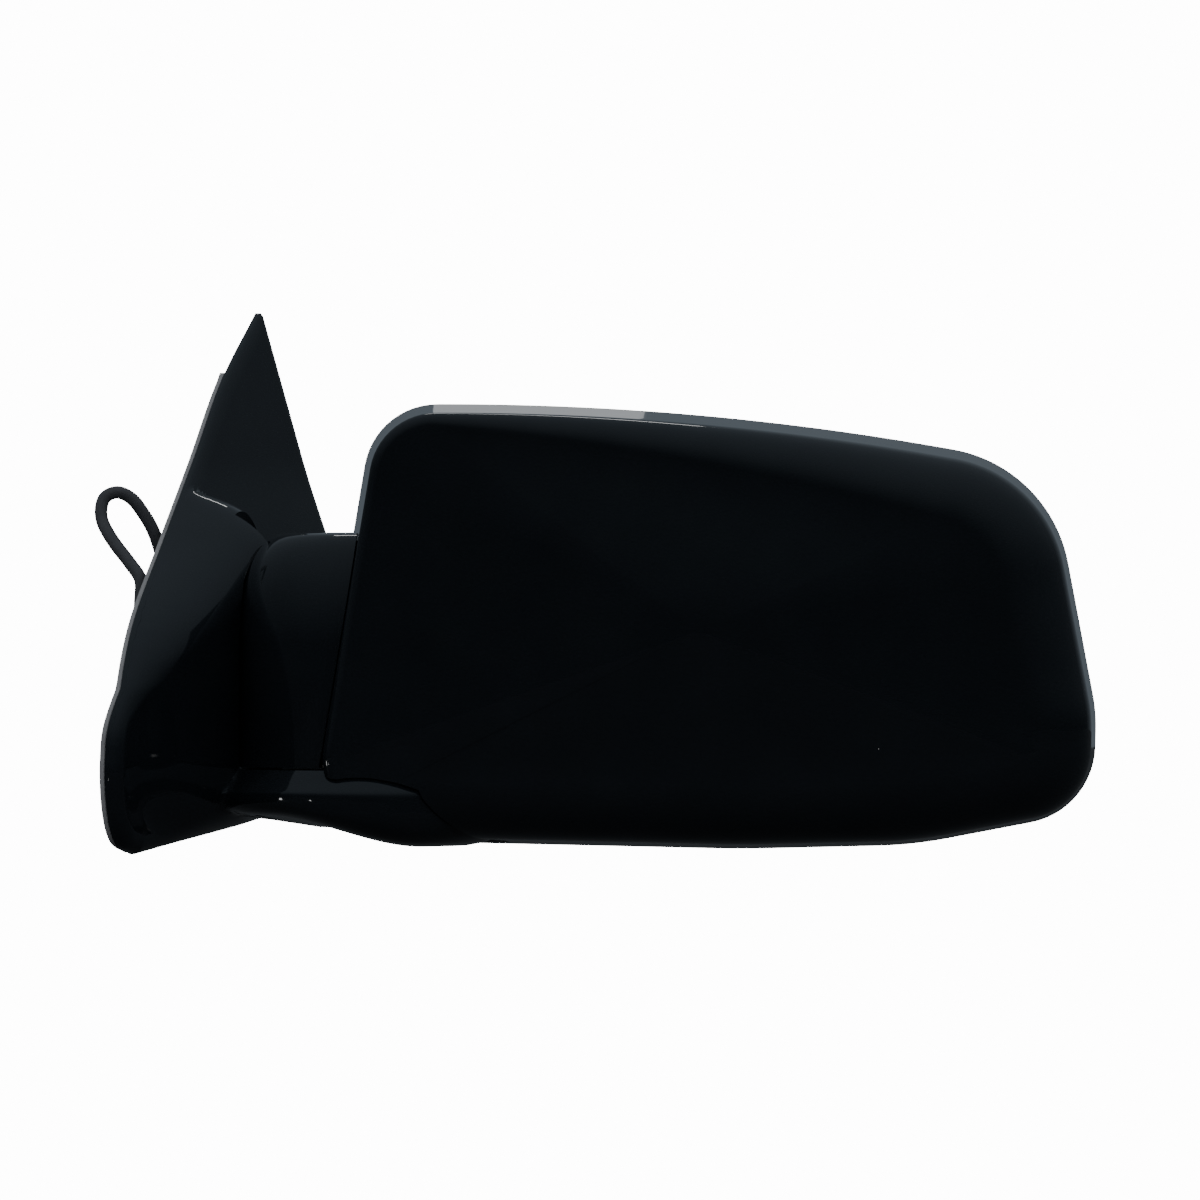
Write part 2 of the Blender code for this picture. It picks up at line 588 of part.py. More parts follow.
def make_actuator():
    case = make("actuator_case", slab(square(CASE_HALF), CASE_LOW_Y, CASE_TOP_Y, in_xz), MATTE, CENTRE)
    cut(case, slab(square(CASE_HALF - CASE_WALL), CASE_LOW_Y - 5, CASE_TOP_Y - CASE_WALL, in_xz))
    add(case,
        *[rod(5, CASE_LOW_Y, CASE_TOP_Y - 1, 12, (x, 0, z), (0, 1, 0)) for x, z in POSTS],
        *[slab(rectangle(CENTRE.x + min(s * 9, s * 12.5), CENTRE.x + max(s * 9, s * 12.5),
                         CENTRE.z - 4, CENTRE.z + 4), CASE_TOP_Y - 1, CENTRE.y + 4, in_xz) for s in (-1, 1)])
    cut(case,
        *[rod(PILOT_R, -30, 30, 10, (x, 0, z), (0, 1, 0)) for x, z in POSTS],
        rod(2, -20, 20, 12, CENTRE, (1, 0, 0)),
        *[rod(4.6, 0, 20, 16, from_centre(x, 0, z), (0, 1, 0)) for x, z in ((0, PUSH_R), (PUSH_R, 0))])
    cover = make("actuator_cover", slab(square(CASE_HALF - 0.5), CASE_LOW_Y - 2.4, CASE_LOW_Y - 0.3, in_xz),
                 MATTE, CENTRE)
    cut(cover, *[rod(PILOT_R, -30, 0, 10, (x, 0, z), (0, 1, 0)) for x, z in POSTS])

    # Tilt drive above the centre, pan drive outboard of it: motor, worm, gear nut, plunger.
    distance = TEETH * TOOTH_MODULE / 2 + WORM_PITCH_R
    drives = (("tilt", from_centre(0, 0, PUSH_R), from_centre(-distance, DRIVE_Y, 0), (0, 0, 1)),
              ("pan", from_centre(PUSH_R, 0, 0), from_centre(0, DRIVE_Y, -distance), (1, 0, 0)))
    for name, push, worm_foot, along in drives:
        make(f"{name}_motor", turned(((0, -2), (7.5, -2), (7.5, 14), (1.6, 14), (1.6, 10), (0, 10)), 16,
                                     worm_foot, along), STEEL, worm_foot)
        make_worm(f"{name}_worm", worm_foot, Vector(along))
        make_gear_nut(f"{name}_gear_nut", push, math.pi if name == "tilt" else -math.pi / 2)
        rings = [(0, -9.5), (4, -9.5), (4, 9), (2.6, 10), (2.6, CENTRE.y - 3)]
        rings += [(BALL_R * math.cos(a), CENTRE.y + BALL_R * math.sin(a))
                  for a in (math.radians(d) for d in (-30, 0, 30, 60))]
        make(f"{name}_plunger", turned((*rings, (0, CENTRE.y + BALL_R)), 12, push, (0, 1, 0)), WHITE, push)


def make_worm(name, foot, along):
    pitch = math.pi * TOOTH_MODULE
    body = make(name, turned(((0, 11), (1, 11), (1, 20), (2.2, 20), (2.2, 32), (0, 32)), 10, foot, along),
                BRASS, foot)
    side = Vector((1, 0, 0)) if along.z else Vector((0, 0, 1))
    other = along.cross(side)
    sections = []
    for k in range(4 * 12 + 1):
        turn = math.tau * k / 12
        out = side * math.cos(turn) + other * math.sin(turn)
        height = PUSH_R + pitch / 2 - 2 * pitch + pitch * k / 12
        sections.append([foot + out * r + along * (height + h)
                         for r, h in ((1.3, -0.5), (3.5, -0.3), (3.5, 0.3), (1.3, 0.5))])
    add(body, skin(sections))


def make_gear_nut(name, push, facing):
    pitch_r = TEETH * TOOTH_MODULE / 2
    flank = []
    for i in range(TEETH):
        for radius, width in ((pitch_r - 0.8, -0.5), (pitch_r + 0.5, -0.3), (pitch_r + 0.5, 0.3),
                              (pitch_r - 0.8, 0.5)):
            angle = facing + math.tau * i / TEETH + width / radius
            flank.append((push.x + radius * math.cos(angle), push.z + radius * math.sin(angle)))
    nut = make(name, slab(flank, DRIVE_Y - 4, DRIVE_Y + 4, in_xz), WHITE, push)
    cut(nut, rod(4.4, -20, 20, 16, push, (0, 1, 0)))


def make_glass():
    cross = make("gimbal_cross", block(CENTRE - Vector((3.5, 3.5, 3.5)), CENTRE + Vector((3.5, 3.5, 3.5))),
                 GREY, CENTRE)
    add(cross, rod(1.6, -12.4, 12.4, 12, CENTRE, (1, 0, 0)), rod(1.6, -12.2, 12.2, 12, CENTRE))
    back = GLASS_Y - 0.3 - 0.5 - 0.3
    carrier = make("glass_carrier", slab(outline(GLASS_CORNERS, GLASS_INSET + 1), back - 2.2, back, in_xz),
                   MATTE, CENTRE)
    sockets = [from_centre(x, 0, z) for x, z in ((0, PUSH_R), (PUSH_R, 0))]
    add(carrier,
        *[slab(rectangle(CENTRE.x - 4, CENTRE.x + 4, CENTRE.z + min(s * 9, s * 12.5),
                         CENTRE.z + max(s * 9, s * 12.5)), CENTRE.y - 3.6, back - 1, in_xz) for s in (-1, 1)],
        *[rod(6.5, CENTRE.y - 1.6, back - 1, 14, p, (0, 1, 0)) for p in sockets])
    cut(carrier, rod(2, -30, 30, 12, CENTRE),
        *[rod(SOCKET_R, 0, CENTRE.y + BALL_R + 0.8, 14, p, (0, 1, 0)) for p in sockets])
    make("heater_pad", slab(outline(GLASS_CORNERS, GLASS_INSET + 4), back + 0.3, back + 0.8, in_xz),
         HEATER, CENTRE)
    make("mirror_glass", slab(outline(GLASS_CORNERS, GLASS_INSET), GLASS_Y, GLASS_Y + GLASS_T, in_xz),
         MIRROR, CENTRE)


# ---------------------------------------------------------------- leads and harness

def make_leads():
    lead = [(49.9, -25.4, 30), (49.9, -25.4, 0), (49.9, -25.4, -28), (49.3, -25.4, -31.5),
            (47, -25.4, -34.6), (43.5, -25.4, -35.9), (30, -25.4, -36), (12, -25.4, -36),
            (6.8, -24, -36), (5.3, -20, -36), (5.1, 0, -36), (5.1, 9, -34), (5.1, 14, -28),
            (5.1, 18, -10), (5.5, 18.5, 4), (5.5, 18.5, 9)]
    path = [at_door(f, z, out) for out, f, z in lead]
    cable("pivot_lead", spline(path, 2), LEAD_R, PVC, 1)
    head = [(56, 0, 37), (57, -0.5, 44), (64, -3, 50), (80, -6, 50), (108, -8, 42), (128, -8, 34),
            (141, -8, 30)]
    cable("head_lead", spline(head, 2), HEAD_LEAD_R, PVC, 1)

    # The harness as (outboard, forwards, up): out of the grommet, up in a loop, then folded behind the base.
    harness = [(-7.3, 18.5, 11.5), (-11, 18.3, 12.5), (-14, 17.6, 17), (-15.6, 16.2, 25), (-16, 14.4, 34),
               (-17, 12.4, 42), (-22, 10.4, 47.6), (-30.5, 8, 56), (-36, 5.6, 63.4), (-36.6, 2.9, 70.2),
               (-32.8, 0, 72.6), (-28.6, -3, 70.3), (-25.3, -5.2, 65.3), (-23, -7.2, 60.3),
               (-21.6, -9.4, 54.5), (-20.6, -12.5, 46), (-20, -17, 34), (-20, -24, 22), (-20.5, -36, 14.5),
               (-20.5, -52, 12.4), (-20.5, -68, 12.4), (-20.5, -82, 15.5), (-20.5, -96, 17),
               (-20.5, -106, 9), (-20.5, -104, -3), (-20.5, -92, -6.5), (-20.5, -80, 1), (-20.5, -68, 6.2),
               (-20.5, -52, 6.4), (-20.5, -38, 2), (-20.5, -28, -3)]
    cable("harness_cord", spline([at_door(f, z, out) for out, f, z in harness], 2), CORD_R, PVC)
    tie = make("cable_tie", slab(rectangle(-62, -57, 2.4, 16.4), -24.6, -16.4, at_door), MATTE)
    cut(tie, slab(rectangle(-66, -53, 3.6, 15.2), -23.4, -17.6, at_door))
    (out, f, z), (end_out, end_f, end_z) = harness[-2:]
    plug = at_door(end_f, end_z, end_out)
    ahead = (plug - at_door(f, z, out)).normalized()
    make_connector(plug + ahead * 0.3, ahead)


def make_connector(start, ahead):
    level = OUTBOARD.cross(ahead)

    def place(a, b, c):
        return start + OUTBOARD * a + level * b + ahead * c

    body = make("harness_connector", slab(rectangle(-5, 5, -7, 7), 2.5, 24, place), GREY)
    add(body, rod(3.4, 0, 4, 12, start, ahead), slab(rectangle(4, 6.6, -2.5, 2.5), 6, 18, place))
    cut(body, slab(rectangle(-3.6, 3.6, -5.6, 5.6), 12, 30, place))
    add(body, *[slab(rectangle(a - 0.5, a + 0.5, b - 0.5, b + 0.5), 11, 20, place)
                for a in (-1.8, 1.8) for b in (-3.6, 0, 3.6)])


make_base()
make_pivot()
make_head()
make_actuator()
make_glass()
make_leads()
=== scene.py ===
import json
import math

import bmesh
import bpy
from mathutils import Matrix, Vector, kdtree


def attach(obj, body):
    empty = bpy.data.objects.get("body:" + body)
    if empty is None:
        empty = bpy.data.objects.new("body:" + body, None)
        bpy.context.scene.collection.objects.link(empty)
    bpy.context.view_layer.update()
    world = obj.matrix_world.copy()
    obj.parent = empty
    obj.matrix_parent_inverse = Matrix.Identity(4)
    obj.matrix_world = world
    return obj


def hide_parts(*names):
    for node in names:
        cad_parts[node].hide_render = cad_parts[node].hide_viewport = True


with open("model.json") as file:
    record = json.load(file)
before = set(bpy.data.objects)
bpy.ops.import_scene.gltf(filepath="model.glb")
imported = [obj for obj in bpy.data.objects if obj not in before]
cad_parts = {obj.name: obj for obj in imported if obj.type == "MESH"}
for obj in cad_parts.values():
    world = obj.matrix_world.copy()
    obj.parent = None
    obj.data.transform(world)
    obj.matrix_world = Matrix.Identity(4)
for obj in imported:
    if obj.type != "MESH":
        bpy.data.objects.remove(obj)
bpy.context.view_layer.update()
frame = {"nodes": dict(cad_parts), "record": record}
mm = 0.001

# The door line and the fold pivot, in millimetres, as the frame was built
door = {"yaw": math.radians(27), "lean": 0.3134, "waist": 5, "back": 2.5, "rearF": -116.5,
        "rearLow": -33, "tip": 135.5, "gasketTop": 115, "gasketThick": 2.2, "plate": 8, "sailPlate": 5.5}
pivotX = 56.0


# A point by f forwards along the door, z up and out outboard of it
def atDoor(f, z, out):
    return Vector((out * math.cos(door["yaw"]) - f * math.sin(door["yaw"]),
                   -out * math.sin(door["yaw"]) - f * math.cos(door["yaw"]), z))


def spline(points, steps):
    points = [Vector(p) for p in points]
    ends = [2 * points[0] - points[1]] + points + [2 * points[-1] - points[-2]]
    curve = []
    for a, b, c, d in zip(ends, ends[1:], ends[2:], ends[3:]):
        for i in range(steps):
            t = i / steps
            curve.append(0.5 * (2 * b + (c - a) * t + (2 * a - 5 * b + 4 * c - d) * t ** 2
                                + (3 * b - a - 3 * c + d) * t ** 3))
    return curve + [points[-1]]


# Camera
cameraView = {"target": (0.1400, 0.0, 0.0350), "distance": 9.0, "elevation": 0.6, "width": 0.4200}


def makeCamera(view):
    data = bpy.data.cameras.new("mirrorCamera")
    target = Vector(view["target"])
    tilt = math.radians(view["elevation"])
    data.sensor_width = 36
    data.lens = 36 * view["distance"] / view["width"]
    camera = bpy.data.objects.new("mirrorCamera", data)
    camera.location = target + view["distance"] * Vector((0, -math.cos(tilt), math.sin(tilt)))
    camera.rotation_euler = (math.pi / 2 - tilt, 0, 0)
    bpy.context.scene.collection.objects.link(camera)
    bpy.context.scene.camera = camera


makeCamera(cameraView)
print("camera placed")


# Shared shader groups
def newGroup(name, inputs, outputs):
    tree = bpy.data.node_groups.new(name, "ShaderNodeTree")
    for label, kind, value in inputs:
        socket = tree.interface.new_socket(label, in_out="INPUT", socket_type=kind)
        if value is not None:
            socket.default_value = value
    for label, kind in outputs:
        tree.interface.new_socket(label, in_out="OUTPUT", socket_type=kind)
    return tree, tree.nodes.new("NodeGroupInput"), tree.nodes.new("NodeGroupOutput")


# A node with its settings, and its socket values by socket name with _ for a space
def node(tree, kind, **values):
    made = tree.nodes.new(kind)
    for name, value in values.items():
        label = name.replace("_", " ")
        if label in made.inputs:
            made.inputs[label].default_value = value
        else:
            setattr(made, name, value)
    return made


def maths(tree, operation, a, b):
    made = node(tree, "ShaderNodeMath", operation=operation)
    for socket, value in zip(made.inputs, (a, b)):
        if isinstance(value, (int, float)):
            socket.default_value = value
        else:
            tree.links.new(value, socket)
    return made.outputs[0]


def ramp(tree, source, low, high, start=0.0, end=1.0):
    made = node(tree, "ShaderNodeMapRange", From_Min=low, From_Max=high, To_Min=start, To_Max=end)
    tree.links.new(source, made.inputs["Value"])
    return made.outputs["Result"]


# Fine moulded grain or paint ripple: a height, and a slow tone that shifts colour
def makeGrainGroup():
    tree, given, out = newGroup(
        "surfaceGrain",
        [("Size", "NodeSocketFloat", 900.0), ("Ripple Size", "NodeSocketFloat", 60.0),
         ("Ripple", "NodeSocketFloat", 0.3)],
        [("Height", "NodeSocketFloat"), ("Tone", "NodeSocketFloat")])
    coords = node(tree, "ShaderNodeTexCoord")
    fine = node(tree, "ShaderNodeTexNoise", Detail=3.0, Roughness=0.6)
    slow = node(tree, "ShaderNodeTexNoise", Detail=2.0, Roughness=0.5)
    tree.links.new(coords.outputs["Object"], fine.inputs["Vector"])
    tree.links.new(coords.outputs["Object"], slow.inputs["Vector"])
    tree.links.new(given.outputs["Size"], fine.inputs["Scale"])
    tree.links.new(given.outputs["Ripple Size"], slow.inputs["Scale"])
    rippled = maths(tree, "MULTIPLY", slow.outputs["Fac"], given.outputs["Ripple"])
    tree.links.new(maths(tree, "ADD", fine.outputs["Fac"], rippled), out.inputs["Height"])
    tree.links.new(slow.outputs["Fac"], out.inputs["Tone"])
    return tree


# Sparse specks of dust and lint: a mask of small round dots of varied size
def makeDustGroup():
    tree, given, out = newGroup(
        "dustSpecks",
        [("Spacing", "NodeSocketFloat", 90.0), ("Speck", "NodeSocketFloat", 0.05),
         ("Share", "NodeSocketFloat", 0.25)],
        [("Mask", "NodeSocketFloat")])
    coords = node(tree, "ShaderNodeTexCoord")
    cells = node(tree, "ShaderNodeTexVoronoi", Randomness=1.0)
    tree.links.new(coords.outputs["Object"], cells.inputs["Vector"])
    tree.links.new(given.outputs["Spacing"], cells.inputs["Scale"])
    chance = node(tree, "ShaderNodeSeparateColor")
    tree.links.new(cells.outputs["Color"], chance.inputs["Color"])
    kept = maths(tree, "LESS_THAN", chance.outputs["Red"], given.outputs["Share"])
    size = maths(tree, "MULTIPLY", given.outputs["Speck"], chance.outputs["Green"])
    dots = maths(tree, "LESS_THAN", cells.outputs["Distance"], size)
    tree.links.new(maths(tree, "MULTIPLY", kept, dots), out.inputs["Mask"])
    return tree


# Faint wiping streaks and handling smears that change the gloss
def makeScuffGroup():
    tree, given, out = newGroup(
        "handlingScuffs",
        [("Streak", "NodeSocketFloat", 40.0), ("Amount", "NodeSocketFloat", 0.05)],
        [("Roughness", "NodeSocketFloat"), ("Mask", "NodeSocketFloat")])
    coords = node(tree, "ShaderNodeTexCoord")
    stretch = node(tree, "ShaderNodeMapping", Scale=(0.25, 1.0, 1.6), Rotation=(0.2, 0.35, 0.1))
    streaks = node(tree, "ShaderNodeTexNoise", Detail=5.0, Roughness=0.65)
    tree.links.new(coords.outputs["Object"], stretch.inputs["Vector"])
    tree.links.new(stretch.outputs["Vector"], streaks.inputs["Vector"])
    tree.links.new(given.outputs["Streak"], streaks.inputs["Scale"])
    mask = ramp(tree, streaks.outputs["Fac"], 0.5, 0.75)
    tree.links.new(mask, out.inputs["Mask"])
    tree.links.new(maths(tree, "MULTIPLY", mask, given.outputs["Amount"]), out.inputs["Roughness"])
    return tree


groups = {"grain": makeGrainGroup(), "dust": makeDustGroup(), "scuff": makeScuffGroup()}


def place(tree, group, **values):
    made = tree.nodes.new("ShaderNodeGroup")
    made.node_tree = groups[group]
    for name, value in values.items():
        made.inputs[name.replace("_", " ")].default_value = value
    return made


# Materials
finishes = {
    "glossBlack": {"colour": (0.0035, 0.0048, 0.0062), "tint": (0.006, 0.008, 0.010), "rough": 0.045,
                   "grain": 700, "ripple": 45, "rippleShare": 6.0, "bump": 0.02, "depth": 0.00002,
                   "scuff": 0.05, "dust": 0.14, "speck": 0.035, "coat": 0.6},
    "matteBlack": {"colour": (0.018, 0.018, 0.019), "tint": (0.028, 0.028, 0.029), "rough": 0.5,
                   "grain": 1500, "ripple": 80, "rippleShare": 0.4, "bump": 0.45, "depth": 0.0001,
                   "scuff": 0.10, "dust": 0.2, "speck": 0.03},
    "gasketRubber": {"colour": (0.15, 0.155, 0.16), "tint": (0.22, 0.225, 0.235), "rough": 0.45,
                     "grain": 2200, "ripple": 120, "rippleShare": 0.5, "bump": 0.5, "depth": 0.0001,
                     "scuff": 0.12, "dust": 0.25, "speck": 0.04},
    "greyPlastic": {"colour": (0.27, 0.27, 0.275), "tint": (0.34, 0.34, 0.34), "rough": 0.46,
                    "grain": 1300, "ripple": 70, "rippleShare": 0.5, "bump": 0.3, "depth": 0.0001,
                    "scuff": 0.1, "dust": 0.12, "speck": 0.03},
    "gearWhite": {"colour": (0.72, 0.70, 0.64), "tint": (0.80, 0.79, 0.75), "rough": 0.38,
                  "grain": 1100, "ripple": 90, "rippleShare": 0.4, "bump": 0.15, "depth": 0.0001,
                  "scuff": 0.1, "dust": 0.05, "speck": 0.03},
    "zincSteel": {"colour": (0.56, 0.56, 0.53), "tint": (0.68, 0.68, 0.66), "rough": 0.26, "metal": 1.0,
                  "grain": 900, "ripple": 160, "rippleShare": 0.8, "bump": 0.12, "depth": 0.0001,
                  "scuff": 0.2, "dust": 0.06, "speck": 0.03},
    "springSteel": {"colour": (0.16, 0.16, 0.17), "tint": (0.24, 0.23, 0.22), "rough": 0.32, "metal": 1.0,
                    "grain": 1000, "ripple": 180, "rippleShare": 0.8, "bump": 0.15, "depth": 0.0001,
                    "scuff": 0.15, "dust": 0.05, "speck": 0.03},
    "brass": {"colour": (0.70, 0.50, 0.22), "tint": (0.80, 0.62, 0.32), "rough": 0.28, "metal": 1.0,
              "grain": 1200, "ripple": 200, "rippleShare": 0.6, "bump": 0.12, "depth": 0.0001,
              "scuff": 0.1, "dust": 0.04, "speck": 0.03},
    "cableSleeve": {"colour": (0.030, 0.032, 0.036), "tint": (0.055, 0.058, 0.064), "rough": 0.2,
                    "grain": 1400, "ripple": 220, "rippleShare": 1.2, "bump": 0.12, "depth": 0.0001,
                    "scuff": 0.12, "dust": 0.12, "speck": 0.05},
    "heaterFoil": {"colour": (0.40, 0.26, 0.13), "tint": (0.50, 0.34, 0.18), "rough": 0.42,
                   "grain": 800, "ripple": 140, "rippleShare": 0.6, "bump": 0.12, "depth": 0.0001,
                   "scuff": 0.1, "dust": 0.04, "speck": 0.03},
    "mirrorGlass": {"colour": (0.80, 0.83, 0.85), "tint": (0.84, 0.86, 0.87), "rough": 0.015, "metal": 1.0,
                    "grain": 500, "ripple": 20, "rippleShare": 1.0, "bump": 0.004, "depth": 0.00001,
                    "scuff": 0.03, "dust": 0.10, "speck": 0.03},
}


def makeMaterial(name, look):
    material = bpy.data.materials.new(name)
    material.use_nodes = True
    tree = material.node_tree
    shader = tree.nodes["Principled BSDF"]
    shader.inputs["Metallic"].default_value = look.get("metal", 0.0)
    if look.get("coat"):
        shader.inputs["Coat Weight"].default_value = look["coat"]
        shader.inputs["Coat Roughness"].default_value = 0.02
    grain = place(tree, "grain", Size=float(look["grain"]), Ripple_Size=float(look["ripple"]),
                  Ripple=look["rippleShare"])
    scuff = place(tree, "scuff", Streak=30.0, Amount=look["scuff"])
    dust = place(tree, "dust", Spacing=110.0, Speck=look["speck"], Share=look["dust"])
    tone = node(tree, "ShaderNodeMix", data_type="RGBA")
    tone.inputs[6].default_value = (*look["colour"], 1)
    tone.inputs[7].default_value = (*look["tint"], 1)
    tree.links.new(grain.outputs["Tone"], tone.inputs[0])
    dusted = node(tree, "ShaderNodeMix", data_type="RGBA")
    dusted.inputs[7].default_value = (0.42, 0.41, 0.39, 1)
    tree.links.new(tone.outputs[2], dusted.inputs[6])
    tree.links.new(dust.outputs["Mask"], dusted.inputs[0])
    tree.links.new(dusted.outputs[2], shader.inputs["Base Color"])
    rough = maths(tree, "ADD", look["rough"], scuff.outputs["Roughness"])
    speckled = maths(tree, "MULTIPLY", dust.outputs["Mask"], 0.6)
    tree.links.new(maths(tree, "ADD", rough, speckled), shader.inputs["Roughness"])
    bump = node(tree, "ShaderNodeBump", Strength=look["bump"], Distance=look["depth"])
    tree.links.new(grain.outputs["Height"], bump.inputs["Height"])
    tree.links.new(bump.outputs["Normal"], shader.inputs["Normal"])
    return material


materials = {name: makeMaterial(name, look) for name, look in finishes.items()}
print("materials made")


# Mesh helpers
def makePiece(name, points, faces, material, sharp=32):
    mesh = bpy.data.meshes.new(name)
    mesh.from_pydata([Vector(p) * mm for p in points], [], faces)
    work = bmesh.new()
    work.from_mesh(mesh)
    bmesh.ops.recalc_face_normals(work, faces=work.faces)
    work.to_mesh(mesh)
    work.free()
    mesh.materials.append(material)
    mesh.shade_smooth()
    mesh.set_sharp_from_angle(angle=math.radians(sharp))
    piece = bpy.data.objects.new(name, mesh)
    bpy.context.scene.collection.objects.link(piece)
    return piece


# Quads between rings of equal count; a ring of one point is a pole, open ends get caps
def skin(rings, closed=False):
    points, starts, faces = [], [], []
    for ring in rings:
        starts.append(len(points))
        points.extend(ring)
    count = max(len(ring) for ring in rings)
    pairs = list(zip(range(len(rings)), range(1, len(rings))))
    if closed:
        pairs.append((len(rings) - 1, 0))
    for a, b in pairs:
        wideA, wideB = len(rings[a]) > 1, len(rings[b]) > 1
        for i in range(count):
            j = (i + 1) % count
            corners = [starts[a] + i * wideA, starts[a] + j * wideA,
                       starts[b] + j * wideB, starts[b] + i * wideB]
            face = [c for k, c in enumerate(corners) if c not in corners[:k]]
            if len(face) > 2:
                faces.append(face)
    if not closed:
        for end in (0, -1):
            if len(rings[end]) > 1:
                faces.append([starts[end] + i for i in range(count)])
    return points, faces


def turned(profile, steps, centre, axis=(0, 0, 1)):
    turn = Vector((0, 0, 1)).rotation_difference(Vector(axis)).to_matrix()
    rings = []
    for radius, height in profile:
        if radius == 0:
            rings.append([Vector(centre) + turn @ Vector((0, 0, height))])
            continue
        rings.append([Vector(centre) + turn @ Vector((radius * math.cos(math.tau * i / steps),
                                                      radius * math.sin(math.tau * i / steps), height))
                      for i in range(steps)])
    return skin(rings, closed=profile[0][0] > 0)


def slab(outline, low, high, spot):
    return skin([[spot(a, b, c) for a, b in outline] for c in (low, high)])


def inXz(x, z, y):
    return Vector((x, y, z))


def inXy(x, y, z):
    return Vector((x, y, z))


# Booleans applied one by one; the cutters are removed afterwards
def carve(piece, operation, *shapes):
    for shape in shapes:
        cutter = makePiece("cutter", *shape, piece.data.materials[0])
        change = piece.modifiers.new("carve", "BOOLEAN")
        change.operation = operation
        change.object = cutter
        applyModifiers(piece)
        bpy.data.objects.remove(cutter)
    return piece


def applyModifiers(piece):
    graph = bpy.context.evaluated_depsgraph_get()
    mesh = bpy.data.meshes.new_from_object(piece.evaluated_get(graph))
    piece.modifiers.clear()
    piece.data = mesh


def softenShading(piece, sharp=32):
    piece.data.shade_smooth()
    piece.data.set_sharp_from_angle(angle=math.radians(sharp))


def addPiece(piece, body, slot, *nodes):
    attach(piece, body)
    if nodes:
        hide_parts(*nodes)


# Surfaces shared by the fine pieces, at the sizes of the CAD shells
head = {"corners": ((35.3, -49.5, 30), (190, -53.0, 500), (250, -51.6, 150), (313.6, -39.5, 28),
                    (314.6, -5, 60), (298.3, 81.6, 50), (173.5, 103.5, 1000), (60.8, 103.5, 26)),
        "front": -48, "rim": 40, "crown": 3, "draft": 2.8, "draftDepth": 85, "wall": 2.5, "gap": 0.8,
        "left": 3, "top": 4, "topFar": 20, "right": 23, "low": 20}
glassCorners = ((126, -51, 30),) + head["corners"][1:] + ((43.9, 3, 30),)
neck = {"radius": 43.75, "top": 58.5, "domeZ": 20.5, "domeR": 18, "socketGap": 0.85, "bossTop": -24}
foot = {"radius": 51.3, "edgeZ": -31.5, "lowZ": -50.8, "nearZ": -40.2}
frontEdge = ((57, -53), (68, -49), (74, -38), (75.5, -20), (70, -3), (43, 26), (2, 56), (-37, 84),
             (-75, 112), (-114.5, 135.5))
studs = ((40, -32, 0), (-92, -18, 0), (-104, 40, -11))
outboard = atDoor(0, 0, 1)
pivot = Vector((pivotX, 0, 0))


def rod(radius, low, high, steps, centre, axis=(0, 0, 1)):
    return turned(((0, low), (radius, low), (radius, high), (0, high)), steps, centre, axis)


def rectangle(lowA, highA, lowB, highB):
    return ((lowA, lowB), (highA, lowB), (highA, highB), (lowA, highB))


def smoothStep(value, low, high):
    t = min(max((value - low) / (high - low), 0), 1)
    return t * t * (3 - 2 * t)


# Points and normals along a rounded outline; the counts don't change with the inset
def rounded(corners, inset, arcStep=3.0, sideStep=4.0):
    def sides(move):
        lines = []
        for here, after in zip(corners, corners[1:] + corners[:1]):
            a, b = Vector(here[:2]), Vector(after[:2])
            along = (b - a).normalized()
            lines.append((a + move * Vector((-along.y, along.x)), along))
        return lines

    def arcs(move):
        lines, found = sides(move), []
        for i, corner in enumerate(corners):
            (p, u), (q, v) = lines[i - 1], lines[i]
            turn = math.atan2(u.x * v.y - u.y * v.x, u.dot(v))
            tip = p + u * ((q - p).cross(v) / u.cross(v))
            radius = max(corner[2] - move, 1)
            start = tip - u * radius * math.tan(turn / 2)
            found.append((start, start + radius * Vector((-u.y, u.x)), radius, turn, u))
        return found

    def point(arc, share):
        start, centre, radius, turn, u = arc
        angle = turn * share
        normal = Vector((u.y * math.cos(angle) + u.x * math.sin(angle),
                         -u.x * math.cos(angle) + u.y * math.sin(angle)))
        return centre + radius * normal, normal

    base, moved = arcs(0), arcs(inset)
    points, normals = [], []
    for i, (plain, arc) in enumerate(zip(base, moved)):
        steps = max(6, math.ceil(plain[2] * abs(plain[3]) / arcStep))
        for k in range(steps + 1):
            spot, normal = point(arc, k / steps)
            points.append(spot)
            normals.append(normal)
        after = moved[(i + 1) % len(moved)]
        gap = (point(base[(i + 1) % len(base)], 0)[0] - point(plain, 1)[0]).length
        count = math.ceil(gap / sideStep)
        leave = point(arc, 1)[0]
        for k in range(1, count):
            points.append(leave.lerp(point(after, 0)[0], k / count))
            normals.append(normals[-1])
    return points, normals


def edgeRound(point, normal):
    top = head["top"] + (head["topFar"] - head["top"]) * min(max((point.x - 80) / 180, 0), 1)
    return (head["left"] * max(-normal.x, 0) ** 2 + head["right"] * max(normal.x, 0) ** 2
            + top * max(normal.y, 0) ** 2 + head["low"] * max(-normal.y, 0) ** 2)


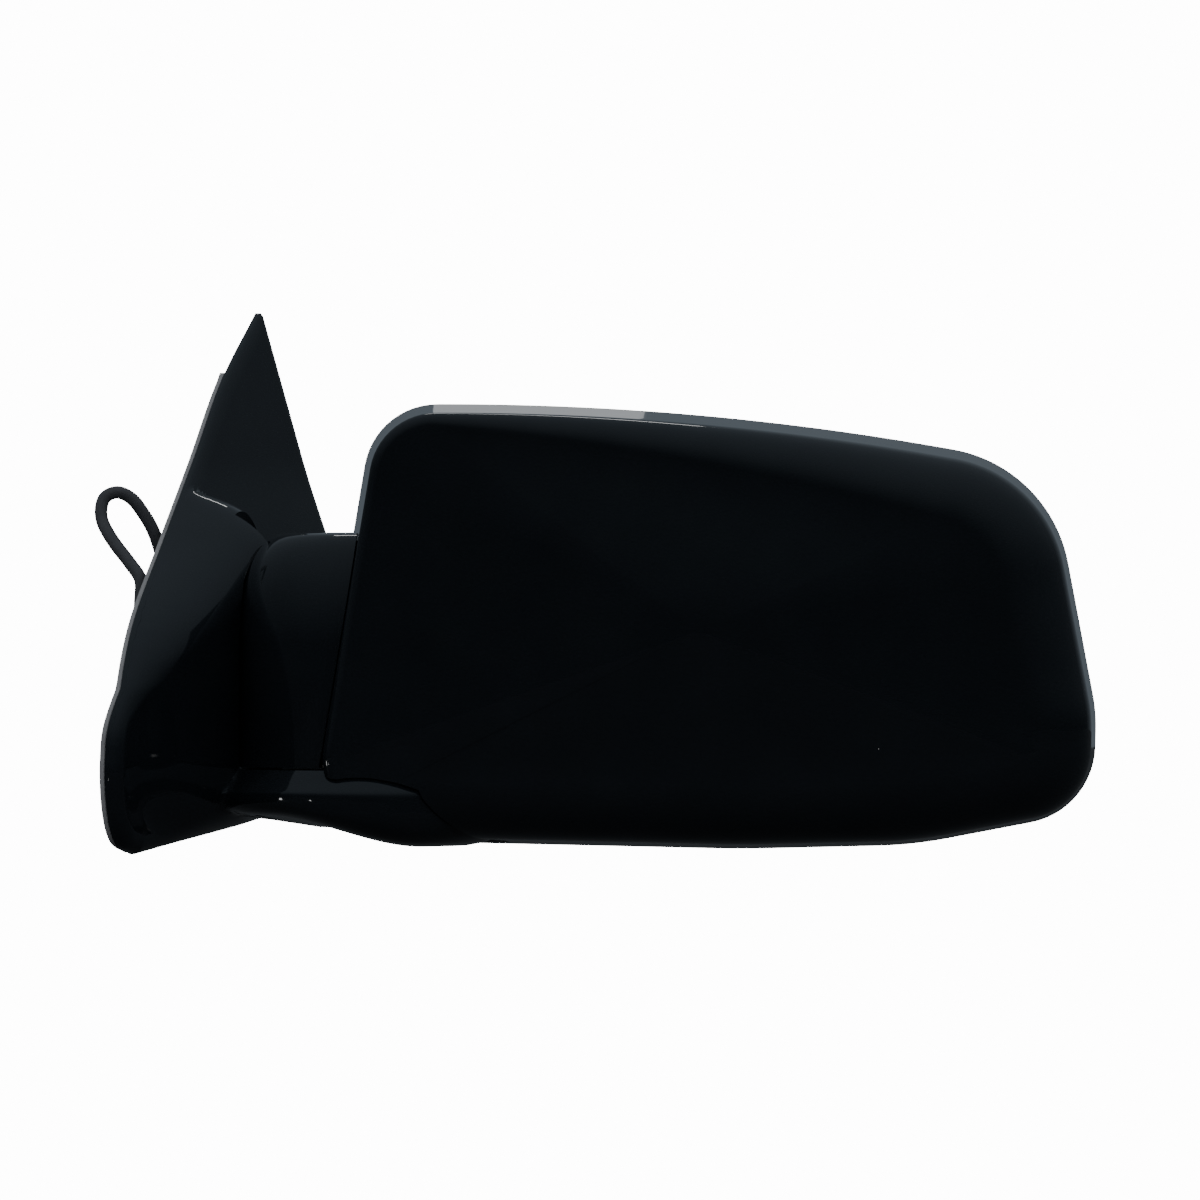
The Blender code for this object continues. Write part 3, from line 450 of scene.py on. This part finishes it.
# Rings from the rear rim round the front edge to a pole; the crown starts level with the edge
def headSkin(inset, sideRings=8, roundRings=16, fronts=26):
    rimY = head["rim"]
    rear = rounded(head["corners"], inset)[0]
    front, normals = rounded(head["corners"], inset + head["draft"])
    rounds = [max(edgeRound(p, n) - inset, 0.6) for p, n in zip(front, normals)]
    rings = []
    for k in range(sideRings):
        ring = []
        for a, b, r in zip(rear, front, rounds):
            y = head["front"] + inset + r
            share = k / sideRings
            spot = a.lerp(b, share)
            ring.append(inXz(spot.x, spot.y, rimY + (y - rimY) * share))
        rings.append(ring)
    for k in range(roundRings + 1):
        angle = math.pi / 2 * k / roundRings
        ring = []
        for p, n, r in zip(front, normals, rounds):
            flat = p - n * r * (1 - math.cos(angle))
            ring.append(inXz(flat.x, flat.y, head["front"] + inset + r * (1 - math.sin(angle))))
        rings.append(ring)
    edge = rings[-1]
    middle = sum(edge, Vector()) / len(edge)
    for k in range(1, fronts + 1):
        scale = 1 - (k / fronts) ** 1.25
        y = head["front"] + inset - head["crown"] * (1 - scale ** 2) ** 2
        if k == fronts:
            rings.append([inXz(middle.x, middle.z, y)])
        else:
            rings.append([inXz(*(middle + scale * (p - middle)).xz, y) for p in edge])
    return rings


def footCutter(gap, steps=144):
    boss = neck["bossTop"] + gap
    return turned(((0, boss), (neck["radius"] + 1.25, boss), (foot["radius"] + gap, foot["edgeZ"] + gap),
                   (foot["radius"] + gap, -70), (0, -70)), steps, pivot)


def dome(gap, steps=18):
    flat = neck["radius"] - neck["domeR"]
    height = neck["top"] - neck["domeZ"] + gap
    return [(flat + (neck["domeR"] + gap) * math.cos(math.pi / 2 * k / steps),
             neck["domeZ"] + height * math.sin(math.pi / 2 * k / steps)) for k in range(steps + 1)]


def doorLean(z):
    return -max(z - door["waist"], 0) * door["lean"]


# Head: shell, neck and bezel
shellSizes = {"bosses": ((84, 40), (100, -10), (228, 58), (228, -14)), "bossR": 4.5, "bossEnd": -22.3,
              "armWindow": (20, 62, -40, 50)}


def makeShell():
    outer, inner = headSkin(0), headSkin(head["wall"], fronts=8)
    shell = makePiece("headShell", *skin(outer[::-1] + inner), materials["glossBlack"])
    window = slab(rectangle(*shellSizes["armWindow"]), -33, 33, inXz)
    carve(shell, "DIFFERENCE", window, footCutter(head["gap"]))
    carve(shell, "UNION",
          *[rod(shellSizes["bossR"], head["front"] + 1, shellSizes["bossEnd"], 24, (x, 0, z), (0, 1, 0))
            for x, z in shellSizes["bosses"]])
    softenShading(shell)
    addPiece(shell, "head", "gloss_black_shell", "housing_shell")
    return shell


def makeNeck():
    low = neck["bossTop"] + head["gap"]
    wall = head["wall"]
    radius = neck["radius"]
    drum = ([(radius, low), (radius, 0)] + dome(0) + [(10, neck["top"]), (10, neck["top"] - wall)]
            + dome(-wall)[::-1] + [(radius - wall, 0), (radius - wall, low)])
    shroud = makePiece("neckShroud", *turned(drum, 200, pivot), materials["glossBlack"])
    (x1, z1), (x2, z2) = head["corners"][-1][:2], head["corners"][0][:2]
    walls = []
    for y in (-70, head["rim"] + 20):
        draft = head["draft"] * (head["rim"] - y) / head["draftDepth"]
        left = [(x1 + (x2 - x1) * (z - z1) / (z2 - z1) + draft - 0.4, z) for z in (90, -60)]
        walls.append([inXz(x, z, y) for x, z in (*left, (150, -60), (150, 90))])
    carve(shroud, "DIFFERENCE", skin(walls))
    softenShading(shroud)
    addPiece(shroud, "head", "gloss_black_shell", "neck_shroud")


bezelSizes = {"inset": 3.4, "opening": 7.5, "inner": 31, "face": 39.4, "edge": 0.5}


def makeBezel():
    outer = rounded(head["corners"], bezelSizes["inset"])[0]
    opening = rounded(glassCorners, bezelSizes["opening"])[0]
    ring = slab([tuple(p) for p in outer], bezelSizes["inner"], bezelSizes["face"], inXz)
    bezel = makePiece("bezelRing", *ring, materials["matteBlack"])
    carve(bezel, "DIFFERENCE", slab([tuple(p) for p in opening], 20, 50, inXz), footCutter(head["gap"]))
    bevel = bezel.modifiers.new("edge", "BEVEL")
    bevel.width, bevel.segments, bevel.angle_limit = bezelSizes["edge"] * mm, 3, math.radians(50)
    applyModifiers(bezel)
    softenShading(bezel)
    addPiece(bezel, "head", "matte_black_plastic", "bezel_ring")


glassSizes = {"inset": 10.7, "low": 28.3, "high": 30.5, "edge": 0.4}


def makeGlass():
    outlinePoints, normals = rounded(glassCorners, glassSizes["inset"])
    rings = []
    low, high, edge = glassSizes["low"], glassSizes["high"], glassSizes["edge"]
    levels = [(edge, low), (0, low + edge)]
    levels += [(edge * (1 - math.sin(a)), high - edge * (1 - math.cos(a)))
               for a in (math.pi / 2, math.pi / 4, 0)]
    for inset, y in levels:
        rings.append([inXz(p.x - n.x * inset, p.y - n.y * inset, y) for p, n in zip(outlinePoints, normals)])
    glass = makePiece("mirrorGlass", *skin(rings), materials["mirrorGlass"])
    addPiece(glass, "glass", "mirror_coating", "mirror_glass")


makeShell()
makeNeck()
makeBezel()
makeGlass()
print("head pieces made")


# Base housing and gasket
def baseEdge(steps):
    front = [(p.x, p.y) for p in spline([(*p, 0) for p in frontEdge], steps)]
    return [(door["rearF"], door["rearLow"])] + front + [(door["rearF"], door["tip"])]


def distanceTo(edge, f, z):
    nearest = 1000.0
    for (af, az), (bf, bz) in zip(edge, edge[1:] + edge[:1]):
        df, dz = bf - af, bz - az
        along = min(max(((f - af) * df + (z - az) * dz) / (df * df + dz * dz), 0), 1)
        nearest = min(nearest, math.hypot(f - af - along * df, z - az - along * dz))
    return nearest


bulge = {"f": -12, "z": 8, "front": 96, "rear": 35, "high": 66, "low": -22, "rise": 42, "blend": 12}


def baseOut(f, z, edge):
    plate = doorLean(z) + door["plate"] + (door["sailPlate"] - door["plate"]) * smoothStep(z, 45, 85)
    reach = bulge["front"] if f > bulge["f"] else bulge["rear"]
    inside = abs((f - bulge["f"]) / reach) ** 2.2 + abs((z - bulge["z"]) / bulge["high"]) ** 6
    swell = bulge["low"] + bulge["rise"] * math.sqrt(1 - inside) if inside < 1 else plate - bulge["blend"]
    mix = min(max(0.5 + (swell - plate) / bulge["blend"], 0), 1)
    full = plate + (swell - plate) * mix + bulge["blend"] / 2 * mix * (1 - mix)
    low = doorLean(z) + door["back"] + 1.2
    radius = 4 + 0.5 * (full - low)
    t = min(distanceTo(edge, f, z) / radius, 1)
    return low + (full - low) * math.sqrt(max(1 - (1 - t) ** 2, 0))


def baseShape(across, up):
    edge = baseEdge(6)
    front = spline([(*p, 0) for p in frontEdge], 24)
    rings = []
    for j in range(up + 1):
        v = 0.5 - 0.5 * math.cos(math.pi * j / up) if j < up / 2 else j / up
        share = v * (len(front) - 1)
        a, b = front[int(share)], front[min(int(share) + 1, len(front) - 1)]
        end = a.lerp(b, share - int(share))
        start = Vector((door["rearF"], door["rearLow"] + v * (door["tip"] - door["rearLow"]), 0))
        outer, inner = [], []
        for i in range(across + 1):
            u = 0.5 - 0.5 * math.cos(math.pi * i / across)
            spot = start.lerp(end, u)
            outer.append(atDoor(spot.x, spot.y, baseOut(spot.x, spot.y, edge)))
            inner.append(atDoor(spot.x, spot.y, doorLean(spot.y) + door["back"] - 2))
        rings.append(outer + inner[::-1])
    return skin(rings)


def footShape(steps):
    levels = spline([(42.8, -22, 0), (foot["radius"] - 0.6, foot["edgeZ"] + 0.5, 0),
                     (foot["radius"], foot["edgeZ"] - 1.5, 0), (foot["radius"], -40, 0), (49.5, -45.5, 0),
                     (45, -49.2, 0), (38, foot["lowZ"], 0)], 5)
    points, faces = turned(((0, -22), *[(p.x, p.y) for p in levels], (0, foot["lowZ"])), steps, pivot)
    bent = []
    for p in points:
        low = foot["nearZ"] + (foot["lowZ"] - foot["nearZ"]) * smoothStep(p.x, 24, 78)
        if p.z < foot["edgeZ"]:
            share = (low - foot["edgeZ"]) / (foot["lowZ"] - foot["edgeZ"])
            p = Vector((p.x, p.y, foot["edgeZ"] + (p.z - foot["edgeZ"]) * share))
        bent.append(p)
    return bent, faces


# Evens out the hard line where the foot meets the plate
def blendCrease(piece, low, high, reach=7.0, rounds=14):
    work = bmesh.new()
    work.from_mesh(piece.data)
    work.verts.ensure_lookup_table()
    creased = [v.co for e in work.edges if len(e.link_faces) == 2 and e.calc_face_angle(0) > math.radians(18)
               and low * mm < e.verts[0].co.z < high * mm and e.verts[0].co.x > 0 for v in e.verts]
    tree = kdtree.KDTree(len(creased))
    for i, co in enumerate(creased):
        tree.insert(co, i)
    tree.balance()
    near = [v for v in work.verts if low * mm < v.co.z < high * mm and tree.find(v.co)[2] < reach * mm]
    for _ in range(rounds):
        bmesh.ops.smooth_vert(work, verts=near, factor=0.5, use_axis_x=True, use_axis_y=True, use_axis_z=True)
    work.to_mesh(piece.data)
    work.free()


baseCuts = {"pocket": ((5, -39), (30, -39), (33.5, -34), (33.5, -18), (46, -8), (46, -5), (30, 16),
                       (10, 34), (5, 34)),
            "pocketOut": 7.5, "sweepR": 46.8, "sweepHigh": 90, "leadPort": (-25.4, -35.9), "leadPortR": 2.4,
            "boreR": 6.4, "coverR": 14, "coverHigh": -28, "studR": 3.3, "studDepth": 5.5}


def makeBase():
    base = makePiece("baseHousing", *baseShape(120, 170), materials["glossBlack"])
    carve(base, "UNION", footShape(160))
    blendCrease(base, -50, -23)
    socket = [(0, neck["bossTop"]), (neck["radius"] + neck["socketGap"], neck["bossTop"]),
              *dome(neck["socketGap"]), (0, neck["top"] + neck["socketGap"])]
    reach = baseCuts["sweepR"]
    sweep = [(pivotX, 0)] + [(pivotX + reach * math.cos(math.radians(a)), reach * math.sin(math.radians(a)))
                             for a in range(88, 161, 3)]
    back = door["back"]
    side = ((-120, -70), (back, -70), (back, door["waist"]), (back + doorLean(150), 150), (-120, 150))
    carve(base, "DIFFERENCE",
          turned(socket, 180, pivot),
          slab(sweep, neck["bossTop"], baseCuts["sweepHigh"], inXy),
          slab(side, -140, 100, lambda out, z, f: atDoor(f, z, out)),
          slab(baseCuts["pocket"], -60, baseCuts["pocketOut"], atDoor),
          slab(rectangle(-29, 8, -39, -33.2), -5, 8, atDoor),
          rod(baseCuts["leadPortR"], 3, 46, 32, atDoor(*baseCuts["leadPort"], 0), outboard),
          rod(baseCuts["coverR"], -60, baseCuts["coverHigh"], 72, pivot),
          rod(baseCuts["boreR"], -40, 0, 48, pivot),
          *[rod(baseCuts["studR"], -60, out + baseCuts["studDepth"], 32, atDoor(f, z, 0), outboard)
            for f, z, out in studs])
    softenShading(base, 34)
    addPiece(base, "base", "gloss_black_shell", "base_housing")


def movedIn(edge, inset):
    moved = []
    for a, b, c in zip(edge[-1:] + edge[:-1], edge, edge[1:] + edge[:1]):
        u, v = (Vector(b) - Vector(a)).normalized(), (Vector(c) - Vector(b)).normalized()
        middle = Vector((-u.y - v.y, u.x + v.x)).normalized()
        moved.append(tuple(Vector(b) + middle * inset / max(middle.dot(Vector((-v.y, v.x))), 0.4)))
    return moved


def makeGasket():
    top, thick = door["gasketTop"], door["gasketThick"]
    edge = [p for p in baseEdge(10) if p[1] < top - 2] + [(-79, top), (door["rearF"], top)]
    section = [(6.5, 0), (0.9, 0), (0.6, 0.4), (0.6, thick - 0.4), (0.9, thick), (6.5, thick)]
    rings = [[atDoor(f, z, doorLean(z) + out) for f, z in movedIn(edge, inset)] for inset, out in section]
    gasket = makePiece("doorGasket", *skin(rings, closed=True), materials["gasketRubber"])
    addPiece(gasket, "base", "gasket_rubber", "door_gasket")


makeBase()
makeGasket()
print("base pieces made")


# Harness
def makeCable(name, points, radius, material, sides=6):
    data = bpy.data.curves.new(name, "CURVE")
    data.dimensions = "3D"
    data.bevel_depth = radius * mm
    data.bevel_resolution = sides
    data.use_fill_caps = True
    line = data.splines.new("POLY")
    line.points.add(len(points) - 1)
    for knot, spot in zip(line.points, points):
        knot.co = (*(spot * mm), 1)
    data.materials.append(material)
    made = bpy.data.objects.new(name, data)
    bpy.context.scene.collection.objects.link(made)
    return made


harness = {"radius": 2.3, "grommet": (18.5, 11.5),
           "route": ((-7.3, 18.5, 11.5), (-11, 18.3, 12.5), (-14, 17.6, 17), (-15.6, 16.2, 25),
                     (-16, 14.4, 34), (-17, 12.4, 42), (-22, 10.4, 47.6), (-30.5, 8, 56), (-36, 5.6, 63.4),
                     (-36.6, 2.9, 70.2), (-32.8, 0, 72.6), (-28.6, -3, 70.3), (-25.3, -5.2, 65.3),
                     (-23, -7.2, 60.3), (-21.6, -9.4, 54.5), (-20.6, -12.5, 46), (-20, -17, 34),
                     (-20, -24, 22), (-20.5, -36, 14.5), (-20.5, -52, 12.4), (-20.5, -68, 12.4),
                     (-20.5, -82, 15.5), (-20.5, -96, 17), (-20.5, -106, 9), (-20.5, -104, -3),
                     (-20.5, -92, -6.5), (-20.5, -80, 1), (-20.5, -68, 6.2), (-20.5, -52, 6.4),
                     (-20.5, -38, 2), (-20.5, -28, -3))}


def makeHarness():
    line = spline([atDoor(f, z, out) for out, f, z in harness["route"]], 10)
    cord = makeCable("harnessCord", line, harness["radius"], materials["cableSleeve"])
    addPiece(cord, "base", "cable_sleeve", "harness_cord")


makeHarness()
print("harness made")


# The CAD pieces that keep their own shape
slotLooks = {"gloss_black_shell": "glossBlack", "matte_black_plastic": "matteBlack",
             "gasket_rubber": "gasketRubber", "grey_plastic": "greyPlastic",
             "white_gear_plastic": "gearWhite", "zinc_steel": "zincSteel", "spring_steel": "springSteel",
             "brass": "brass", "cable_sleeve": "cableSleeve", "mirror_coating": "mirrorGlass",
             "heater_foil": "heaterFoil"}


def dressFrame():
    for part in frame["record"]["subparts"]:
        shown = frame["nodes"][part["node"]]
        shown.data.materials.clear()
        shown.data.materials.append(materials[slotLooks[part["material_slot"]]])
        softenShading(shown, 38)


dressFrame()
print("CAD pieces dressed")


# Studio
studioWhite = 14.0
studioFloor = {"half": 12.0, "low": -0.24, "grey": (0.015, 0.018, 0.021, 1)}


# A pale floor that looks even to the camera and stays dim in the gloss
def makeStage():
    material = bpy.data.materials.new("studioWhite")
    material.use_nodes = True
    tree = material.node_tree
    shader = tree.nodes["Principled BSDF"]
    shader.inputs["Base Color"].default_value = studioFloor["grey"]
    shader.inputs["Roughness"].default_value = 0.8
    glow = node(tree, "ShaderNodeEmission", Color=(1, 1, 1, 1), Strength=studioWhite)
    choose = tree.nodes.new("ShaderNodeMixShader")
    path = tree.nodes.new("ShaderNodeLightPath")
    tree.links.new(path.outputs["Is Camera Ray"], choose.inputs["Fac"])
    tree.links.new(shader.outputs[0], choose.inputs[1])
    tree.links.new(glow.outputs[0], choose.inputs[2])
    tree.links.new(choose.outputs[0], tree.nodes["Material Output"].inputs["Surface"])
    mesh = bpy.data.meshes.new("studioFloor")
    size, low = studioFloor["half"], studioFloor["low"]
    mesh.from_pydata([(-size, -size, low), (size, -size, low), (size, size, low), (-size, size, low)],
                     [], [(0, 1, 2, 3)])
    mesh.materials.append(material)
    floor = bpy.data.objects.new("studioFloor", mesh)
    bpy.context.scene.collection.objects.link(floor)


worldGloss = {"colour": (0.72, 0.86, 1.0, 1), "upper": (0.02, 0.20), "behind": 0.10, "behindFrom": 0.7}


# White to the camera, even for diffuse light, and nearly dark in reflections
def makeWorld():
    world = bpy.data.worlds.new("studioWorld")
    world.use_nodes = True
    tree = world.node_tree
    tree.nodes.clear()
    out = tree.nodes.new("ShaderNodeOutputWorld")
    path = tree.nodes.new("ShaderNodeLightPath")
    towards = tree.nodes.new("ShaderNodeTexCoord")
    height = tree.nodes.new("ShaderNodeSeparateXYZ")
    tree.links.new(towards.outputs["Generated"], height.inputs[0])
    upper = ramp(tree, height.outputs["Z"], 0.0, 1.0, *worldGloss["upper"])
    behind = ramp(tree, height.outputs["Y"], worldGloss["behindFrom"], 1.0, 0.0, worldGloss["behind"])
    gloss = node(tree, "ShaderNodeBackground", Color=worldGloss["colour"])
    tree.links.new(maths(tree, "ADD", upper, behind), gloss.inputs["Strength"])
    even = node(tree, "ShaderNodeBackground", Color=(0.95, 0.97, 1.0, 1), Strength=1.0)
    seen = node(tree, "ShaderNodeBackground", Color=(1, 1, 1, 1), Strength=studioWhite)
    shade, choose = (tree.nodes.new("ShaderNodeMixShader") for _ in range(2))
    tree.links.new(path.outputs["Is Glossy Ray"], shade.inputs["Fac"])
    tree.links.new(even.outputs[0], shade.inputs[1])
    tree.links.new(gloss.outputs[0], shade.inputs[2])
    tree.links.new(path.outputs["Is Camera Ray"], choose.inputs["Fac"])
    tree.links.new(shade.outputs[0], choose.inputs[1])
    tree.links.new(seen.outputs[0], choose.inputs[2])
    tree.links.new(choose.outputs[0], out.inputs["Surface"])
    bpy.context.scene.world = world


studioLights = {
    "backCard": {"spot": (0.115, 2.0, 0.245), "target": (0.115, 0, 0.1),
                 "size": (0.11, 0.12), "watts": 0.012},
    "wallSliver": {"spot": (-1.2, -1.55, -0.24), "target": (0.04, 0, 0.0),
                 "size": (0.03, 0.14), "watts": 0.2},
    "rimCard": {"spot": (-1.3, -0.60, -0.25), "target": (0.0, 0, -0.02),
                 "size": (0.16, 0.30), "watts": 1.2},
    "topStrip": {"spot": (0.1, 1.1, 1.1), "target": (0.1, 0, 0),
                 "size": (0.40, 0.05), "watts": 0.4},
}


def makeLight(name, spot, target, size, watts):
    data = bpy.data.lights.new(name, "AREA")
    data.shape = "RECTANGLE"
    data.size, data.size_y = size
    data.energy = watts
    light = bpy.data.objects.new(name, data)
    light.location = spot
    light.rotation_euler = (Vector(target) - Vector(spot)).to_track_quat("-Z", "Y").to_euler()
    light.visible_camera = False
    bpy.context.scene.collection.objects.link(light)


makeStage()
makeWorld()
for name, light in studioLights.items():
    makeLight(name, **light)
print("studio made")
